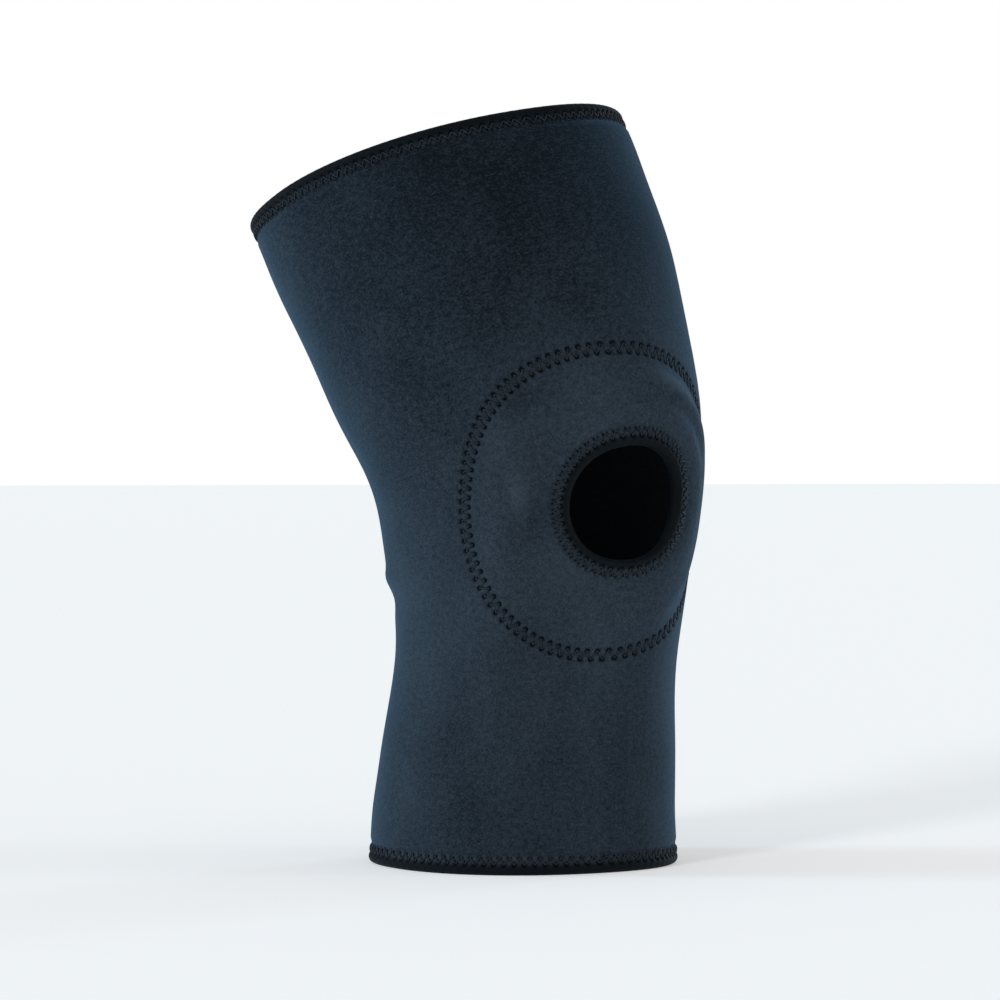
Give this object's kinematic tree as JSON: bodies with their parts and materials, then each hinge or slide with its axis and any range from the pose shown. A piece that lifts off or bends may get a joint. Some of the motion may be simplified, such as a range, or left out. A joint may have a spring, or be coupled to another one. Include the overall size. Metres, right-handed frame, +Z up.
{
  "type": "open-patella knee sleeve",
  "caption": "Pull-on elastic foam knee sleeve with a bound opening for the kneecap, a sewn-in ring pad and bound hems, shaped to a slightly bent right leg.",
  "frame": {"origin": "middle of the bounding box, on the flat lower edge of the calf hem binding", "axes": "+Z up the leg from calf to thigh, -Y out of the front of the knee through the kneecap opening, -X towards the outer side of a right leg"},
  "size_m": [0.1489, 0.1822, 0.281],
  "materials": {
    "face_jersey": "dark charcoal navy nylon jersey with a fine heather, matt with a soft sheen at grazing angles",
    "foam": "black closed-cell rubber foam, matt",
    "lining_jersey": "black nylon jersey lining, matt",
    "binding_tape": "near-black elastic binding tape, slightly shiny",
    "thread": "dark slate polyester sewing thread, slightly shiny",
    "pad_felt": "dark grey needled felt"
  },
  "bodies": {
    "calf_section": {"calf_face_fabric": "face_jersey", "calf_foam_core": "foam", "calf_lining": "lining_jersey", "calf_hem_binding": "binding_tape", "calf_hem_zigzag_outer_thread": "thread", "calf_hem_zigzag_inner_thread": "thread", "calf_back_seam_tape": "binding_tape", "calf_back_seam_thread": "thread", "knee_face_fabric": "face_jersey", "knee_foam_core": "foam", "knee_lining": "lining_jersey", "knee_back_seam_tape": "binding_tape", "knee_back_seam_thread": "thread", "patella_ring_pad": "pad_felt", "patella_ring_pocket": "lining_jersey", "opening_binding": "binding_tape", "opening_zigzag_outer_thread": "thread", "opening_zigzag_inner_thread": "thread", "ring_zigzag_outer_thread": "thread", "ring_zigzag_inner_thread": "thread"},
    "thigh_section": {"thigh_face_fabric": "face_jersey", "thigh_foam_core": "foam", "thigh_lining": "lining_jersey", "thigh_hem_binding": "binding_tape", "thigh_hem_zigzag_outer_thread": "thread", "thigh_hem_zigzag_inner_thread": "thread", "thigh_back_seam_tape": "binding_tape", "thigh_back_seam_thread": "thread"}
  },
  "joints": [
    {"name": "knee_flexion", "type": "hinge", "parent": "calf_section", "child": "thigh_section", "pos_m": [0.01, -0.01, 0.13], "axis": [-1, 0, 0], "range_deg": [-17.5, 72.5], "stiffness_Nm_per_rad": 0.8, "springref_deg": -0.57, "deforming": ["knee_face_fabric", "knee_foam_core", "knee_lining", "knee_back_seam_tape", "knee_back_seam_thread"]}
  ]
}
